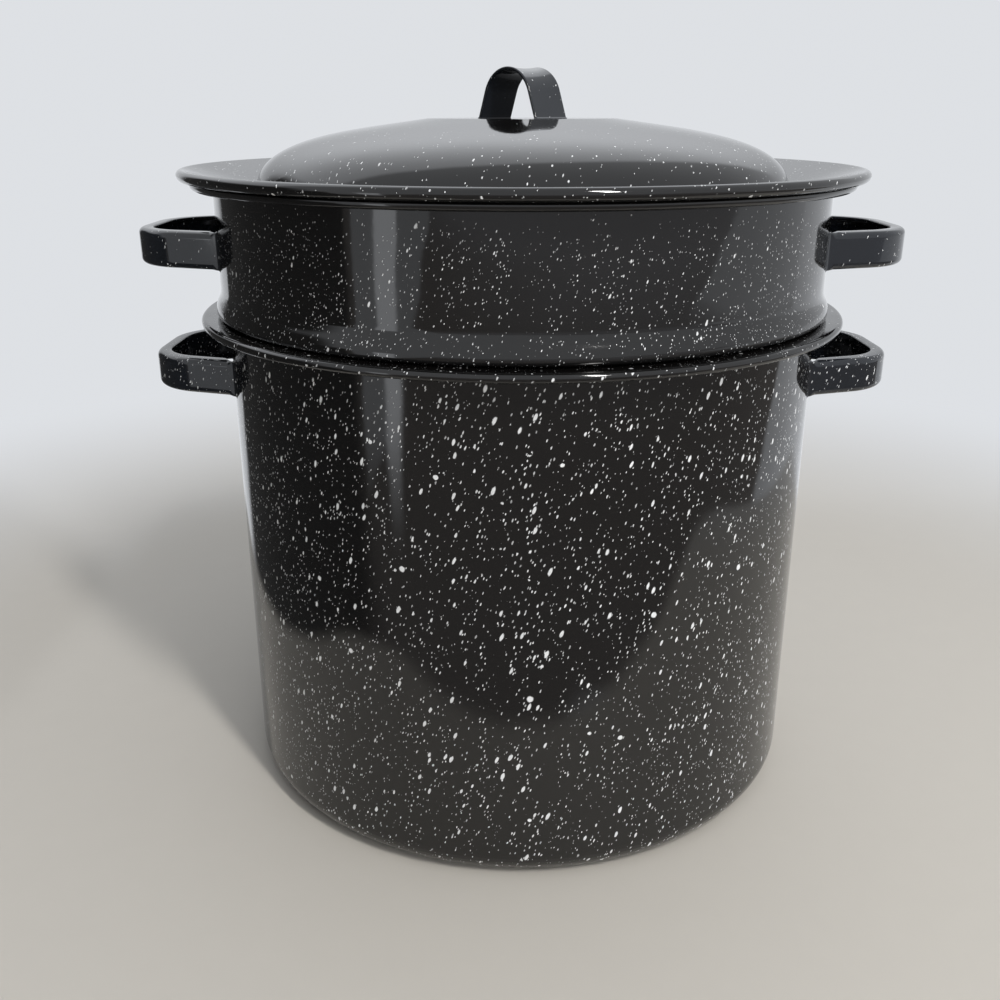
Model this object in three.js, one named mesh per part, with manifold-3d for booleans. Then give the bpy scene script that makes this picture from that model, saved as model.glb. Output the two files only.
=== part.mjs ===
// Blancher pot: an enamelled steel pot, a perforated insert that stands in its rim, and a domed lid.
// Millimetres, +Z up, origin at the middle of the pot's base, side handles along X.

import * as THREE from 'three';
import { mergeVertices } from 'three/addons/utils/BufferGeometryUtils.js';
import Module from 'manifold-3d';

const wasm = await Module();
wasm.setup();

// Sheet metal and clearances
const sheet = 0.8;
const seatGap = 0.3;
const strapThickness = 1.4;

// Pot
const potRadius = 142.5;
const potHeight = 236.3;
const potBaseRound = 13;
const potRimWidth = 12.5;
const potRimCurl = 2;
const potRimBend = 1.4;

// Insert: collar above the pot's rim, perforated basket below it
const collarStep = 2.5;
const collarHeight = 61;
const shoulderSwell = 2.6;
const shoulderHeight = 13;
const shoulderRound = 2.4;
const basketClearance = 4.2;
const basketRound = 14;
const basketBend = 2;
const waterDepth = 40.8;
const insertRimCurl = 2;
const insertRimBend = 2;

// Perforations of the basket
const holeRadius = 4.5;
const floorRingPitch = 28;
const floorRings = 3;
const holesPerRing = 6;
const wallRows = 2;
const wallRowPitch = 22;
const wallRowStart = 26;
const wallFacetStep = 3;

// Lid
const lidOverhang = 5.2;
const lidCurl = 2.5;
const lidSlope = 18;
const troughRound = 4;
const domeInset = 20;
const domeRise = 25.7;
const plateauRadius = 45;
const crownAngle = 8;
const crownPull = 35;
const shoulderAngle = 74;
const shoulderPull = 19.5;

// Side handles: a strap loop with turned-in lips, whose arms lean together away from the wall
const strapHeight = 16.7;
const lipDepth = 6.9;
const strapEdgeRound = 2.8;
const loopWidth = 95.8;
const loopReach = 37.3;
const loopCorner = 30.7;
const armLean = 17.8;
const lipStop = 2.5;
const potHandleDrop = 27.9;
const insertHandleDrop = 30.6;

// Lid handle: an arched strap that stands on the flat of the lid
const archWidth = 21;
const archSpan = 37.8;
const archHeight = 22.4;
const archRadius = 15.5;
const archStrap = 1.5;
const archTurn = -45;

// Facets round the axis and along the small curves
const roundSegments = 48;
const holeSegments = 8;
const bendSteps = 2;
const roundSteps = 3;
const curlSteps = 5;
const domeSteps = 6;
const curlEnd = -120;

// Overlap of cutting tools past the surface that they cut
const past = 5;
const weld = 1e-3;
const deg = Math.PI / 180;

// Radii that follow from the pot's wall: both rims reach equally far, and the lid covers them
const potRimRadius = potRadius + potRimWidth;
const collarRadius = potRadius + collarStep;
const shoulderRadius = collarRadius + shoulderSwell;
const basketRadius = potRadius - sheet - basketClearance;
const insertRimRadius = potRimRadius;
const lidRadius = insertRimRadius + lidOverhang;
const domeRadius = collarRadius - domeInset;

// Heights that follow from the sizes above
const insertSeat = potHeight + seatGap;
const insertTop = insertSeat + collarHeight;
const basketFloor = sheet + waterDepth;
const lidTop = insertTop + domeRise;
const facet = 360 / roundSegments;

const point = (x, y) => new THREE.Vector2(x, y);
const along = (angle, length) => point(Math.cos(angle * deg), Math.sin(angle * deg)).multiplyScalar(length);

function arc(centre, radius, from, to, steps) {
  const clockwise = to < from;
  const curve = new THREE.EllipseCurve(centre.x, centre.y, radius, radius, from * deg, to * deg, clockwise);
  return curve.getPoints(steps);
}

// Gives a line of points a thickness on its left side, with mitred corners.
function thicken(line, thickness) {
  const normal = (from, to) => {
    const step = to.clone().sub(from).normalize();
    return point(-step.y, step.x);
  };
  const normals = line.slice(1).map((end, i) => normal(line[i], end));
  const raised = line.map((corner, i) => {
    const before = normals[Math.max(i - 1, 0)];
    const after = normals[Math.min(i, normals.length - 1)];
    const mitre = before.clone().add(after);
    return corner.clone().addScaledVector(mitre, 2 * thickness / mitre.lengthSq());
  });
  return [...line, ...raised.reverse()];
}

function solidOf(geometry) {
  geometry.deleteAttribute('normal');
  geometry.deleteAttribute('uv');
  const merged = mergeVertices(geometry, weld);
  const corners = merged.index.array;
  const triangles = [];
  for (let i = 0; i < corners.length; i += 3) {
    const [a, b, c] = corners.subarray(i, i + 3);
    if (a !== b && b !== c && c !== a) triangles.push(a, b, c);
  }
  const vertProperties = new Float32Array(merged.attributes.position.array);
  const triVerts = Uint32Array.from(triangles);
  return new wasm.Manifold(new wasm.Mesh({ numProp: 3, vertProperties, triVerts }));
}

function geometryOf(solid) {
  const { vertProperties, triVerts } = solid.getMesh();
  const geometry = new THREE.BufferGeometry();
  geometry.setAttribute('position', new THREE.BufferAttribute(vertProperties, 3));
  geometry.setIndex(new THREE.BufferAttribute(triVerts, 1));
  return geometry;
}

const joined = (solids) => solids.reduce((sum, solid) => sum.add(solid));

function turned(profile) {
  return solidOf(new THREE.LatheGeometry(profile, roundSegments).rotateX(Math.PI / 2));
}

function extruded(outline, depth, bevel = {}) {
  const settings = { depth, bevelEnabled: false, steps: 1, ...bevel };
  return new THREE.ExtrudeGeometry(new THREE.Shape(outline), settings);
}

// A round bar on the Z axis, with the same facets as the turned bodies.
function facetedBar(radius, height) {
  return solidOf(new THREE.CylinderGeometry(radius, radius, height, roundSegments).rotateX(Math.PI / 2));
}

// The rim's underside from the top of a wall: a bend, a flat flange and a rolled edge.
function rolledRim(wallRadius, top, bend, rimRadius, curl) {
  const bendCentre = point(wallRadius + bend, top - sheet - bend);
  const curlCentre = point(rimRadius - curl, top - curl);
  return [
    ...arc(bendCentre, bend, 180, 90, bendSteps),
    ...arc(curlCentre, curl - sheet, 90, curlEnd, curlSteps),
  ];
}

function potBody() {
  const baseCentre = point(potRadius - potBaseRound, potBaseRound);
  const outside = [
    point(0, 0),
    ...arc(baseCentre, potBaseRound, -90, 0, roundSteps),
    ...rolledRim(potRadius, potHeight, potRimBend, potRimRadius, potRimCurl),
  ];
  return turned(thicken(outside, sheet));
}

function perforations() {
  const upright = () => new THREE.CylinderGeometry(holeRadius, holeRadius, 2 * past, holeSegments);
  const holes = [];
  const drillFloor = (x, y) => {
    holes.push(solidOf(upright().rotateX(Math.PI / 2).translate(x, y, basketFloor)));
  };
  drillFloor(0, 0);
  for (let ring = 1; ring <= floorRings; ring += 1) {
    const count = ring * holesPerRing;
    for (let i = 0; i < count; i += 1) {
      const place = along(360 * i / count, ring * floorRingPitch);
      drillFloor(place.x, place.y);
    }
  }
  const perRow = Math.floor(roundSegments / wallFacetStep);
  for (let row = 0; row < wallRows; row += 1) {
    const height = basketFloor + wallRowStart + row * wallRowPitch;
    for (let i = 0; i < perRow; i += 1) {
      const turn = ((i * wallFacetStep + row) * facet + facet / 2) * deg;
      holes.push(solidOf(upright().rotateZ(Math.PI / 2).translate(basketRadius, 0, height).rotateZ(turn)));
    }
  }
  return joined(holes);
}

function insertBody() {
  const floorCentre = point(basketRadius - basketRound, basketFloor + basketRound);
  const bendCentre = point(basketRadius + basketBend, insertSeat - basketBend);
  const shoulderCentre = point(shoulderRadius - shoulderRound, insertSeat + shoulderRound);
  const swellStart = point(shoulderRadius, insertSeat + shoulderRound);
  const swellEnd = point(collarRadius, insertSeat + shoulderHeight);
  const swellMiddle = (swellStart.y + swellEnd.y) / 2;
  const swell = new THREE.CubicBezierCurve(
    swellStart, point(shoulderRadius, swellMiddle), point(collarRadius, swellMiddle), swellEnd);
  const outside = [
    point(0, basketFloor),
    ...arc(floorCentre, basketRound, -90, 0, roundSteps),
    ...arc(bendCentre, basketBend, 180, 90, bendSteps),
    ...arc(shoulderCentre, shoulderRound, -90, 0, roundSteps),
    ...swell.getPoints(roundSteps).slice(1),
    ...rolledRim(collarRadius, insertTop, insertRimBend, insertRimRadius, insertRimCurl),
  ];
  return turned(thicken(outside, sheet)).subtract(perforations());
}

// The lid's sloping flange rests on the rounded inner edge of the insert's rim.
function lidShell() {
  const edgeCentre = point(collarRadius + insertRimBend, insertTop - sheet - insertRimBend);
  const seat = edgeCentre.add(along(90 + lidSlope, insertRimBend + sheet + seatGap));
  const flangeHeight = (radius) => seat.y + (radius - seat.x) * Math.tan(lidSlope * deg);

  const curlInside = lidCurl - sheet;
  const curlX = lidRadius - lidCurl;
  const curlCentre = point(curlX, flangeHeight(curlX) - curlInside / Math.cos(lidSlope * deg));

  const troughOutside = troughRound + sheet;
  const fromDome = along(90 - shoulderAngle, troughOutside);
  const toFlange = along(lidSlope - 90, troughOutside);
  const domeFoot = point(domeRadius - sheet, 0);
  const flangeStart = domeFoot.x + fromDome.x + toFlange.x;
  domeFoot.y = flangeHeight(flangeStart) - fromDome.y - toFlange.y;
  const troughCentre = domeFoot.clone().add(fromDome);

  const crownStart = point(plateauRadius, lidTop - sheet);
  const dome = new THREE.CubicBezierCurve(
    crownStart,
    crownStart.clone().add(along(-crownAngle, crownPull)),
    domeFoot.clone().sub(along(-shoulderAngle, shoulderPull)),
    domeFoot);

  const underside = [
    point(0, lidTop - sheet),
    ...dome.getPoints(domeSteps),
    ...arc(troughCentre, troughOutside, 270 - shoulderAngle, 270 + lidSlope, roundSteps).slice(1),
    ...arc(curlCentre, curlInside, 90 + lidSlope, curlEnd, curlSteps),
  ];
  return turned(thicken(underside, sheet));
}

// The loop's plan at an inset from its outer face, from one arm round the outer bar to the other arm.
function loopLine(wallRadius, inset) {
  const side = loopWidth / 2;
  const armX = Math.sqrt(wallRadius ** 2 - side ** 2);
  const acrossArm = along(90 - armLean, 1);
  const centreX = wallRadius + loopReach - loopCorner;
  const centreY = side - (loopCorner - (armX - centreX) * acrossArm.x) / acrossArm.y;
  const corner = arc(point(centreX, centreY), loopCorner - inset, 90 - armLean, 0, 2 * roundSteps);
  const root = corner[0].clone().add(along(180 - armLean, loopReach));
  const half = [root, ...corner];
  const mirrored = half.map((p) => point(p.x, -p.y)).reverse();
  return [...half, ...mirrored];
}

// The strap as a channel: a flat face whose edges are rounded over and turned in towards the wall.
function sideHandle(wallRadius) {
  const block = (inset, height, round) => {
    const between = height - 2 * round;
    const rounded = {
      bevelEnabled: true,
      bevelThickness: round,
      bevelSize: round,
      bevelOffset: -round,
      bevelSegments: roundSteps,
    };
    return solidOf(extruded(loopLine(wallRadius, inset), between, rounded).translate(0, 0, -between / 2));
  };
  const strap = block(0, strapHeight, strapEdgeRound);
  const hollow = block(strapThickness, strapHeight - 2 * strapThickness, strapEdgeRound - strapThickness);
  const cutHeight = strapHeight + past;
  const upright = (inset) =>
    solidOf(extruded(loopLine(wallRadius, inset), cutHeight).translate(0, 0, -cutHeight / 2));
  const opening = upright(lipDepth);
  const lipEnds = upright(strapThickness).intersect(facetedBar(wallRadius + lipStop, cutHeight));
  const wall = facetedBar(wallRadius + seatGap, cutHeight);
  return strap.subtract(hollow).subtract(opening).subtract(lipEnds).subtract(wall);
}

function lidHandle() {
  const foot = point(archSpan / 2, 0);
  const arcCentre = point(0, archHeight - archRadius);
  const toCentre = arcCentre.clone().sub(foot);
  const lean = Math.atan2(toCentre.y, toCentre.x) / deg - Math.asin(archRadius / toCentre.length()) / deg;
  const rightSide = [
    foot.sub(along(lean, archStrap)),
    ...arc(arcCentre, archRadius, lean - 90, 90, 2 * roundSteps),
  ];
  const leftSide = rightSide.slice(0, -1).map((p) => point(-p.x, p.y)).reverse();
  const strap = extruded(thicken([...rightSide, ...leftSide], archStrap), archWidth);
  const below = new THREE.BoxGeometry(2 * archSpan, 2 * archWidth, 2 * past).translate(0, 0, -past);
  return solidOf(strap.translate(0, 0, -archWidth / 2).rotateX(Math.PI / 2)).subtract(solidOf(below));
}

const enamel = { color: 0x141517, roughness: 0.12, metalness: 0 };

function piece(name, solid) {
  const mesh = new THREE.Mesh(geometryOf(solid), new THREE.MeshStandardMaterial(enamel));
  mesh.name = name;
  return mesh;
}

function handlePair(name, wallRadius, height) {
  const solid = sideHandle(wallRadius);
  const left = piece(`${name}_left`, solid);
  const right = piece(`${name}_right`, solid);
  left.rotation.z = Math.PI;
  left.position.z = height;
  right.position.z = height;
  return [left, right];
}

const pot = new THREE.Group();
pot.add(piece('pot_body', potBody()));
pot.add(...handlePair('pot_handle', potRadius, potHeight - potHandleDrop));

const insert = new THREE.Group();
insert.add(piece('insert_body', insertBody()));
insert.add(...handlePair('insert_handle', collarRadius, insertTop - insertHandleDrop));

const lid = new THREE.Group();
lid.add(piece('lid_shell', lidShell()));
const arch = piece('lid_handle', lidHandle());
arch.position.z = lidTop + seatGap;
arch.rotation.z = archTurn * deg;
lid.add(arch);

const blancher = new THREE.Group();
blancher.add(pot, insert, lid);

export default blancher;
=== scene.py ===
import math

import bmesh
import bpy
from mathutils import Matrix, Vector


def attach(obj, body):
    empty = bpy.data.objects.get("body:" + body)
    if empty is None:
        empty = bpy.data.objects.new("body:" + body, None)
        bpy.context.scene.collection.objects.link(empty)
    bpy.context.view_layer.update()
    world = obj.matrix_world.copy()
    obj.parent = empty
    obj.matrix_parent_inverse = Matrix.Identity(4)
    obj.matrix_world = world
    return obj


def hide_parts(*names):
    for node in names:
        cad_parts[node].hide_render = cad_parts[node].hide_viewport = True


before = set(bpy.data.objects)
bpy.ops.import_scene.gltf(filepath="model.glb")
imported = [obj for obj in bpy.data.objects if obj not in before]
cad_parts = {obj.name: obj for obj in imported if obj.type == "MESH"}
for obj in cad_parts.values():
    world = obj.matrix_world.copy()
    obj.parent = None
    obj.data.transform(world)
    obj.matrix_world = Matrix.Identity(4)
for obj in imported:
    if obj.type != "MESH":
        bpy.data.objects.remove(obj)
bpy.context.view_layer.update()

bl_info = {
    "name": "Blancher Pot",
    "version": (1, 0, 0),
    "blender": (4, 5, 0),
    "location": "View3D > Sidebar > Blancher",
    "description": "Builds an enamelled blancher pot with its insert, lid and strap handles",
    "category": "Add Mesh",
}

# Fineness of the meshes: steps, and lengths in metres
AROUND = 192
ARC_STEPS = 10
CURL_STEPS = 20
DOME_STEPS = 40
HOLE_SIDES = 32
EDGE_STEPS = 8
INNER_STEPS = 4
STRAP_EDGE_STEPS = 6
CORNER_STEPS = 16
WELD_STEPS = 6
LIP_STEPS = 10
ROW_HEIGHT = 0.012
SUPPORT = 0.0005
CREASE = math.radians(40)
# A radius that counts as the axis, and how squarely a face of the basket's wall looks outwards
ON_AXIS = 1e-7
WALL_FACING = 0.99

# Angle in degrees at which the rolled edges end
CURL_END = -120.0

# Pattern of the basket's holes: each ring in the floor has six holes more than the one inside it
FLOOR_RINGS = 3
RING_HOLES = 6
WALL_ROWS = 2
ROW_HOLES = 16
DRILL_DEPTH = 0.008

# A weld also spreads up and down, in full from this many thicknesses off the strap's middle
WELD_TURN = 4.0
# Share of its saddle that the lid handle has reached where its legs run into the arch
LEG_SADDLE = 0.35

# Specks in millimetres: the cell that may hold one, and its smallest and largest radius
FINE_SPECKS = 1.12, 0.13, 0.38
MIDDLE_SPECKS = 3.3, 0.4, 0.9
LARGE_SPECKS = 13.0, 1.0, 1.75
# The smaller specks are drawn out along a slanting line, which is tipped back on the lid
SPECK_STRETCH = 2.4
SPECK_LEAN = math.radians(22)
LID_TIP = math.radians(-50)
# Unevenness of the outlines in millimetres, skew towards small sizes, and fully white share of a radius
SPECK_RIPPLE = 0.55
SPECK_SKEW = 1.6
SPECK_CORE = 0.75
# Amounts of fine, middle and large specks on each piece, and how much finer they are
SPECKS = {
    "pot": (0.74, 0.62, 0.28, 1.0),
    "insert": (0.56, 0.07, 0.12, 1.45),
    "lid": (0.36, 0.04, 0.0, 0.88),
    "lower handle": (0.8, 0.14, 0.0, 1.0),
    "upper handle": (0.25, 0.06, 0.0, 1.0),
    "lid handle": (0.12, 0.12, 0.0, 1.0),
}
# Heights in metres, from a rim or the lid's top, between which the specks thin out
POT_THINNING = -0.008, 0.004
INSERT_THINNING = -0.019, -0.003
LID_THINNING = -0.018, 0.003
# Heights over all of the object, for pieces whose specks don't thin out
NO_THINNING = 1.0, 1.1

MILLIMETRES_IN_METRE = 1000.0
# Noise of the enamel, in features per millimetre
RIPPLE_NOISE = 0.9
DRIFT_NOISE = 0.03
HAZE_NOISE = 0.018
WAVE_NOISE = 0.028
PEEL_NOISE = 0.35
# Range of noise from thin to thick drifts and from clear to hazy gloss, and the factors it gives
DRIFT_SPAN = 0.33, 0.67
DRIFT_AMOUNT = 0.7, 1.25
HAZE_SPAN = 0.3, 0.7
HAZE_ROUGHNESS = 0.75, 1.35
# Cover of the faintest and the whitest specks
FINE_TONE = 0.45, 1.0
MIDDLE_TONE = 0.85, 1.0
# Relief of the enamel: shares of a depth in metres
RELIEF_DEPTH = 0.0003
WAVE_RELIEF = 0.8
PEEL_RELIEF = 0.02
SPECK_RELIEF = 0.05
SPECK_ROUGHNESS = 0.06
ENAMEL_IOR = 1.6

# The floor in metres: distances at which it runs into the background, and features of its grain per metre
STAGE_HALF = 6.0
FLOOR_LEVEL = -0.0002
FLOOR_FADE = 0.34, 0.85
FLOOR_GRAIN = 60.0
FLOOR_DIM = 0.97
FLOOR_ROUGHNESS = 0.7
# The front card begins past an edge with round corners
CARD_LEVEL = 0.0003
CARD_MIDDLE = 0.13
CARD_HALF = 0.285
CARD_FRONT = -0.13
CARD_ROUND = 0.125, 0.16
# An edge on the card is a direction, and the two distances that way between which it fades in
CARD_BEHIND = (0.0, 1.0, 0.0), 0.3, 0.4
CARD_FAR_END = (0.55, -0.83, 0.0), 0.6, 2.2
CARD_DARK_END = (0.42, -0.91, 0.0), 0.07, 0.16
FAR_RIGHT = (1.0, 0.0, 0.0), 1.2, 1.6
FAR_LEFT = (-0.75, -0.66, 0.0), 0.45, 0.95
# Each strip on the card has a power and the edges that bound it
CARD_STRIPS = (
    (1.15, FAR_RIGHT, ((0.0, 1.0, 0.0), -0.9, -0.8)),
    (1.0, FAR_LEFT, ((0.47, -0.88, 0.0), 0.075, 0.105), ((-0.9, 0.44, 0.0), 0.27, 0.3)),
    (3.0, FAR_LEFT, ((0.6, -0.8, 0.0), 0.075, 0.105), ((-0.71, 0.7, 0.0), -0.06, -0.03)),
    (1.3, ((-0.51, 0.86, 0.0), -0.31, -0.27), ((0.77, 0.64, 0.0), -0.14, -0.08)))
# The panel behind, the screen at the left and the light: the way to each, and how far up and round it fades
UPWARD = (0.0, 0.0, 1.0)
PANEL_AIM = (-0.41, 0.912, 0.0)
PANEL_DISTANCE = 2.0
PANEL_HALF = 6.5
PANEL_POWER = 2.2
PANEL_FACES = (0.0, 0.0, 0.31)
PANEL_RISE = 0.15, 0.58
PANEL_SPREAD = 0.32, 0.42
SCREEN_AIM = (-0.97, 0.243, 0.0)
SCREEN_DISTANCE = 2.0
SCREEN_HALF = 1.9
SCREEN_FACES = (0.0, 0.0, 0.24)
SCREEN_RISE = 0.3, 0.48
SCREEN_SPREAD = 0.76, 0.88
LIGHT_AIM = (0.76, 0.25, 0.6)
LIGHT_SPREAD = -0.5, 0.6
# Each lamp has a place, a width and height, a power in watts and a colour
LAMP_TARGET = Vector((0.0, 0.0, 0.15))
TOP_LAMP = (0.6, -1.12, 1.45), (0.12, 0.5), 17.0, (1.0, 0.98, 0.95)
FRONT_FILL = (0.8, -1.75, 0.75), (1.2, 0.8), 11.0, (1.0, 1.0, 1.0)
# The camera: its place, its focal length and sensor width in millimetres, and degrees downwards
CAMERA_PLACE = (-0.0104, -0.5361, 0.3271)
CAMERA_LENS = 38.37
CAMERA_SENSOR = 36.0
CAMERA_DOWN = 20.11
CAMERA_NEAREST = 0.01


def length(name, default, description):
    """A size in metres that a user may change."""
    return bpy.props.FloatProperty(
        name=name, description=description, default=default, min=0.0, precision=4, unit="LENGTH")


def slant(name, default, description):
    """An angle in degrees that a user may change."""
    return bpy.props.FloatProperty(
        name=name, description=description, default=default, min=-180.0, max=180.0)


def share(name, default, description):
    """A number from 0 to 1 that a user may change."""
    return bpy.props.FloatProperty(
        name=name, description=description, default=default, min=0.0, max=1.0, subtype="FACTOR")


def shade(name, default, description):
    """A colour that a user may change."""
    return bpy.props.FloatVectorProperty(
        name=name, description=description, default=default, size=3, min=0.0, max=1.0, subtype="COLOR")


class BlancherBodies(bpy.types.PropertyGroup):
    """Sizes of the pot, the insert and the lid."""

    sheet: length("Sheet", 0.0008, "Thickness of the enamelled sheet")
    seat_gap: length("Seat gap", 0.0003, "Clearance where one piece rests on another")
    pot_radius: length("Pot radius", 0.1425, "Outside of the pot's straight wall")
    pot_height: length("Pot height", 0.2363, "Top of the pot's rim")
    base_round: length("Base round", 0.013, "Radius from the pot's base into its wall")
    rim_width: length("Rim width", 0.0125, "How far the pot's rim stands out from its wall")
    rim_curl: length("Rim curl", 0.002, "Radius of the rolled edge of both rims")
    pot_rim_bend: length("Pot rim bend", 0.0014, "Bend from the pot's wall into its rim")
    collar_step: length("Collar step", 0.0025, "How far the collar stands out from the pot's wall")
    collar_height: length("Collar height", 0.061, "From the pot's rim to the insert's rim")
    shoulder_swell: length("Shoulder swell", 0.0026, "How far the shoulder swells out below the collar")
    shoulder_height: length("Shoulder height", 0.013, "Height over which the swell fades into the collar")
    shoulder_round: length("Shoulder round", 0.0024, "Round under the shoulder")
    basket_clearance: length("Basket clearance", 0.0042, "Gap between the basket and the pot's wall")
    basket_round: length("Basket round", 0.014, "Radius from the basket's floor into its wall")
    basket_bend: length("Basket bend", 0.002, "Bend from the basket's wall into the shoulder")
    water_depth: length("Water depth", 0.0408, "Space under the basket's floor")
    insert_rim_bend: length("Insert rim bend", 0.002, "Bend from the collar into the insert's rim")
    hole_radius: length("Hole radius", 0.0045, "Radius of the basket's holes")
    floor_ring_pitch: length("Floor ring pitch", 0.028, "Distance between the rings of holes in the floor")
    wall_row_start: length("Wall row start", 0.026, "Height of the first row of holes over the floor")
    wall_row_pitch: length("Wall row pitch", 0.022, "Distance between the rows of holes in the wall")
    lid_overhang: length("Lid overhang", 0.0052, "How far the lid stands out over the insert's rim")
    lid_curl: length("Lid curl", 0.0025, "Radius of the lid's rolled edge")
    lid_slope: slant("Lid slope", 18.0, "Slope of the lid's flange in degrees")
    trough_round: length("Trough round", 0.004, "Round of the trough between dome and flange")
    dome_inset: length("Dome inset", 0.02, "From the collar in to the foot of the dome")
    dome_rise: length("Dome rise", 0.0257, "From the insert's rim up to the top of the lid")
    plateau_radius: length("Plateau radius", 0.045, "Flat on top of the dome")
    crown_angle: slant("Crown angle", 8.0, "Slope of the dome at the edge of its flat, in degrees")
    crown_pull: length("Crown pull", 0.035, "How far the dome follows that slope")
    shoulder_angle: slant("Dome side angle", 74.0, "Slope of the dome at its foot, in degrees")
    shoulder_pull: length("Dome side pull", 0.0195, "How far the dome follows that slope")


class BlancherHandles(bpy.types.PropertyGroup):
    """Sizes of the strap handles."""

    strap: length("Strap", 0.0014, "Thickness of the side handles' strap")
    strap_height: length("Strap height", 0.0167, "Height of the side handles' strap")
    lip_depth: length("Lip depth", 0.0069, "How far the strap's edges are turned in")
    edge_round: length("Edge round", 0.0028, "Round of the turned edges")
    cut_edge: length("Cut edge", 0.0005, "Round of the strap's edges where they aren't turned in")
    loop_width: length("Loop width", 0.0958, "Width over the arms of a loop at the wall")
    loop_reach: length("Loop reach", 0.0373, "How far a loop stands out from the wall")
    loop_corner: length("Loop corner", 0.0307, "Radius of the loop's corners")
    arm_lean: slant("Arm lean", 17.8, "How far the arms lean together away from the wall, in degrees")
    lip_start: length("Lip start", 0.0015, "Distance from the wall at which the edges begin to turn in")
    lip_fade: length("Lip fade", 0.003, "Length over which the edges turn in")
    weld: length("Weld", 0.0012, "Radius of the enamelled weld between an arm and the wall")
    weld_sink: length("Weld sink", 0.0003, "How far an arm runs into the sheet that it is welded to")
    pot_drop: length("Pot handle drop", 0.0279, "From the pot's rim down to the middle of its handles")
    insert_drop: length(
        "Insert handle drop", 0.0306, "From the insert's rim down to the middle of its handles")
    arch_width: length("Arch width", 0.021, "Width of the lid handle's strap")
    arch_strap: length("Arch strap", 0.0015, "Thickness of the lid handle's strap")
    arch_span: length("Arch span", 0.0378, "Distance over the legs of the lid handle")
    arch_height: length("Arch height", 0.0224, "Height of the lid handle")
    arch_radius: length("Arch radius", 0.0155, "Radius of the arch's top")
    arch_weld: length("Arch weld", 0.0005, "Radius of the enamelled weld between a leg and the lid")
    arch_edge: length("Arch edge", 0.0006, "Round of the arch's edges")
    arch_saddle: length("Arch saddle", 0.0008, "How far the arch's edges rise over its middle")
    arch_turn: slant("Arch turn", -45.0, "Turn of the lid handle about the upright axis, in degrees")


class BlancherEnamel(bpy.types.PropertyGroup):
    """Colours and finish of the speckled enamel."""

    ground: shade("Ground", (0.0042, 0.0039, 0.0038), "Black ground coat of the bodies")
    # The handles' ground coat is black; its lift and blue tint are a painted reflection of a bluish room
    handle_ground_and_painted_reflection: shade("Handle ground and painted reflection", (0.0075, 0.0095, 0.0135), "Blue-black ground coat of the handles")
    speck: shade("Speck", (0.78, 0.79, 0.80), "Off-white specks")
    gloss: share("Roughness", 0.06, "Mean roughness of the fired surface")


class BlancherStage(bpy.types.PropertyGroup):
    """Colours of the stage."""

    floor: shade("Floor", (0.56, 0.53, 0.48), "Pale floor")
    backdrop: shade("Backdrop", (0.73, 0.75, 0.78), "Pale background")
    dim_card: shade("Dim card", (0.26, 0.245, 0.235), "Card in front of the object, seen in its gloss")
    far_card: shade("Far card", (0.46, 0.46, 0.48), "Far end of that card")
    dark_card: shade("Dark card", (0.07, 0.07, 0.07), "Left end of that card, and the dark screen")
    panel: shade("Panel", (0.70, 0.72, 0.75), "Soft panel, bright strips and light around the object")


def radii(b):
    """Radii and heights that follow from the sizes of the bodies."""
    collar = b.pot_radius + b.collar_step
    rim = b.pot_radius + b.rim_width
    seat = b.pot_height + b.seat_gap
    return {
        "collar": collar,
        "rim": rim,
        "shoulder": collar + b.shoulder_swell,
        "basket": b.pot_radius - b.sheet - b.basket_clearance,
        "lid": rim + b.lid_overhang,
        "dome": collar - b.dome_inset,
        "seat": seat,
        "insert_top": seat + b.collar_height,
        "basket_floor": b.sheet + b.water_depth,
        "lid_top": seat + b.collar_height + b.dome_rise,
    }


def along(angle, distance):
    """A step of the given length at an angle in degrees."""
    return Vector((math.cos(math.radians(angle)), math.sin(math.radians(angle)))) * distance


def arc(centre, radius, start, end, steps=ARC_STEPS):
    """Points of an arc, with its angles in degrees."""
    return [centre + along(start + (end - start) * i / steps, radius) for i in range(steps + 1)]


def swept_curve(p0, p1, p2, p3, steps):
    """Points of a cubic curve."""
    points = []
    for i in range(steps + 1):
        t = i / steps
        s = 1.0 - t
        points.append(p0 * s**3 + p1 * (3 * s * s * t) + p2 * (3 * s * t * t) + p3 * t**3)
    return points


def supported(line):
    """Adds points to long straight runs, so that smooth shading keeps them straight."""
    points = [line[0]]
    for a, b in zip(line, line[1:]):
        run = (b - a).length
        if run < SUPPORT:
            if run < SUPPORT / 100:
                continue
        elif run > 4 * SUPPORT:
            edge = SUPPORT / run
            rows = max(1, math.ceil(run / ROW_HEIGHT))
            marks = [edge] + [i / rows for i in range(1, rows)] + [1.0 - edge]
            points.extend(a.lerp(b, mark) for mark in marks)
        points.append(b)
    return points


def thickened(line, thickness):
    """Gives a line a thickness on its left side."""
    normals = []
    for a, b in zip(line, line[1:]):
        step = (b - a).normalized()
        normals.append(Vector((-step.y, step.x)))
    raised = []
    for i, corner in enumerate(line):
        mitre = normals[max(i - 1, 0)] + normals[min(i, len(normals) - 1)]
        raised.append(corner + mitre * (2 * thickness / mitre.length_squared))
    return line + raised[::-1]


def rolled_rim(wall, top, bend, rim, curl, sheet):
    """The underside of a rim from the top of its wall: a bend, a flat flange and a rolled edge."""
    bend_centre = Vector((wall + bend, top - sheet - bend))
    curl_centre = Vector((rim - curl, top - curl))
    return arc(bend_centre, bend, 180, 90) + arc(curl_centre, curl - sheet, 90, CURL_END, CURL_STEPS)


def pot_line(b):
    """The outside of the pot, from the middle of its base to the inside of its rolled edge."""
    r = radii(b)
    base = arc(Vector((b.pot_radius - b.base_round, b.base_round)), b.base_round, -90, 0)
    rim = rolled_rim(b.pot_radius, b.pot_height, b.pot_rim_bend, r["rim"], b.rim_curl, b.sheet)
    return [Vector((0.0, 0.0))] + base + rim


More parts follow.
